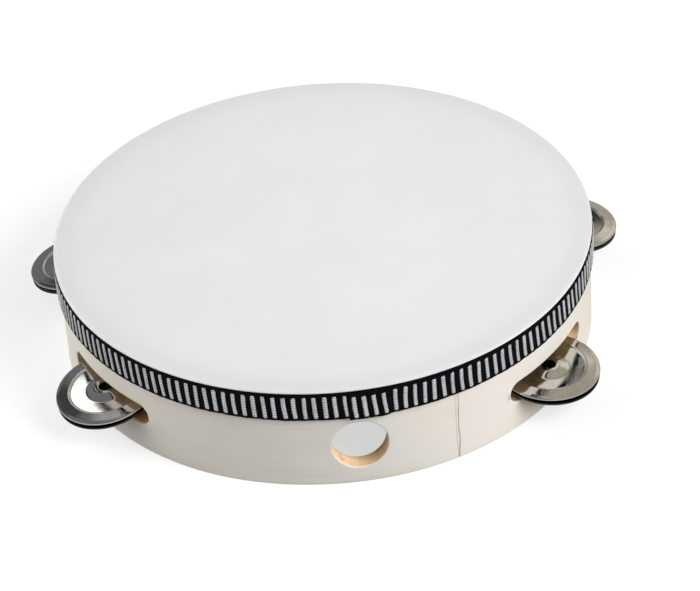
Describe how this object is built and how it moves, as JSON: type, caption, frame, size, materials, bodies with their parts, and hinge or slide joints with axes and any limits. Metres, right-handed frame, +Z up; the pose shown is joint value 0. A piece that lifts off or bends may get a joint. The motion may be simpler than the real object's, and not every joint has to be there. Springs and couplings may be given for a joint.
{
  "type": "tambourine",
  "caption": "Hand drum: a bent-wood hoop with a skin head, a woven ribbon round its top, a thumb hole and pairs of steel jingles on nails in wall slots.",
  "frame": {"origin": "on the hoop's axis, in the plane of the lower rim that it stands on", "axes": "+Z up through the skin; -Y out through the thumb hole; +X to the right as the thumb hole is faced"},
  "size_m": [0.2265, 0.2134, 0.0429],
  "materials": {
    "shell_wood": "clear satin lacquer on pale wood",
    "skin": "matte off-white drum skin",
    "ribbon_black": "black woven braid",
    "ribbon_silver": "silver metallic thread",
    "nail_steel": "plain wire nail",
    "jingle_nickel": "nickel-plated steel"
  },
  "bodies": {
    "frame": {"shell": "shell_wood", "drumhead": "skin", "ribbon": "ribbon_black", "ribbon_bars": "ribbon_silver", "jingle_pin_1": "nail_steel", "jingle_pin_2": "nail_steel", "jingle_pin_3": "nail_steel", "jingle_pin_4": "nail_steel", "jingle_pin_5": "nail_steel", "jingle_pin_6": "nail_steel"},
    "jingle_1_lower": {"jingle_1_lower": "jingle_nickel"},
    "jingle_1_upper": {"jingle_1_upper": "jingle_nickel"},
    "jingle_2_lower": {"jingle_2_lower": "jingle_nickel"},
    "jingle_2_upper": {"jingle_2_upper": "jingle_nickel"},
    "jingle_3_lower": {"jingle_3_lower": "jingle_nickel"},
    "jingle_3_upper": {"jingle_3_upper": "jingle_nickel"},
    "jingle_4_lower": {"jingle_4_lower": "jingle_nickel"},
    "jingle_4_upper": {"jingle_4_upper": "jingle_nickel"},
    "jingle_5_lower": {"jingle_5_lower": "jingle_nickel"},
    "jingle_5_upper": {"jingle_5_upper": "jingle_nickel"},
    "jingle_6_lower": {"jingle_6_lower": "jingle_nickel"},
    "jingle_6_upper": {"jingle_6_upper": "jingle_nickel"}
  },
  "joints": [
    {"name": "jingle_1_lower_slide", "type": "slide", "parent": "frame", "child": "jingle_1_lower", "axis": [0, 0, 1], "range_m": [0, 0.0014]},
    {"name": "jingle_1_upper_slide", "type": "slide", "parent": "jingle_1_lower", "child": "jingle_1_upper", "axis": [0, 0, 1], "range_m": [0, 0.0014]},
    {"name": "jingle_2_lower_slide", "type": "slide", "parent": "frame", "child": "jingle_2_lower", "axis": [0, 0, 1], "range_m": [0, 0.00135]},
    {"name": "jingle_2_upper_slide", "type": "slide", "parent": "jingle_2_lower", "child": "jingle_2_upper", "axis": [0, 0, 1], "range_m": [0, 0.00135]},
    {"name": "jingle_3_lower_slide", "type": "slide", "parent": "frame", "child": "jingle_3_lower", "axis": [0, 0, 1], "range_m": [0, 0.00135]},
    {"name": "jingle_3_upper_slide", "type": "slide", "parent": "jingle_3_lower", "child": "jingle_3_upper", "axis": [0, 0, 1], "range_m": [0, 0.00135]},
    {"name": "jingle_4_lower_slide", "type": "slide", "parent": "frame", "child": "jingle_4_lower", "axis": [0, 0, 1], "range_m": [0, 0.0013]},
    {"name": "jingle_4_upper_slide", "type": "slide", "parent": "jingle_4_lower", "child": "jingle_4_upper", "axis": [0, 0, 1], "range_m": [0, 0.0013]},
    {"name": "jingle_5_lower_slide", "type": "slide", "parent": "frame", "child": "jingle_5_lower", "axis": [0, 0, 1], "range_m": [-0.0004, 0.00085]},
    {"name": "jingle_5_upper_slide", "type": "slide", "parent": "jingle_5_lower", "child": "jingle_5_upper", "axis": [0, 0, 1], "range_m": [0, 0.00085]},
    {"name": "jingle_6_lower_slide", "type": "slide", "parent": "frame", "child": "jingle_6_lower", "axis": [0, 0, 1], "range_m": [-0.0008, 0.0007]},
    {"name": "jingle_6_upper_slide", "type": "slide", "parent": "jingle_6_lower", "child": "jingle_6_upper", "axis": [0, 0, 1], "range_m": [0, 0.0007]}
  ]
}
